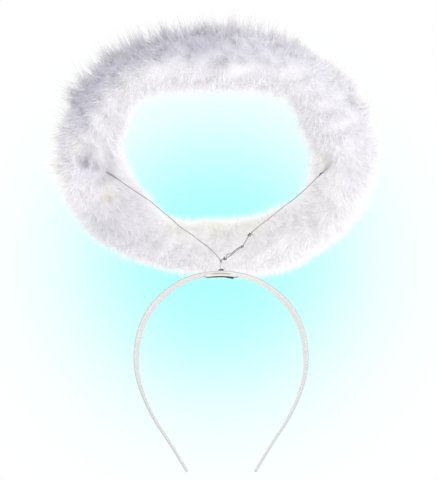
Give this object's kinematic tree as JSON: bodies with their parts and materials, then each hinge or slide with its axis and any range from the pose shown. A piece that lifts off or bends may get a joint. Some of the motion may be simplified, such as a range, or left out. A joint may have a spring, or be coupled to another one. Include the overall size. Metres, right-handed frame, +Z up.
{
  "type": "halo headband",
  "caption": "Fluffy white feather halo held over a thin covered headband by soft twisted wire arms that meet in a Y above the crown.",
  "frame": {"origin": "under the crown, where the patch sits on the head", "axes": "+Z up, -Y to the front, +X to the right as seen from the front"},
  "size_m": [0.2519, 0.2297, 0.2848],
  "materials": {
    "ribbon": "satin",
    "patch": "matte",
    "wire": "satin",
    "dark_wire": "satin",
    "feather": "matte"
  },
  "bodies": {
    "root": {"headband": "ribbon", "cover_patch": "patch", "left_arm_wire": "wire", "right_arm_wire": "wire", "junction_wrap": "wire", "base_coil": "dark_wire", "ring_wire": "wire", "left_feathers": "feather", "right_feathers": "feather"}
  },
  "joints": []
}
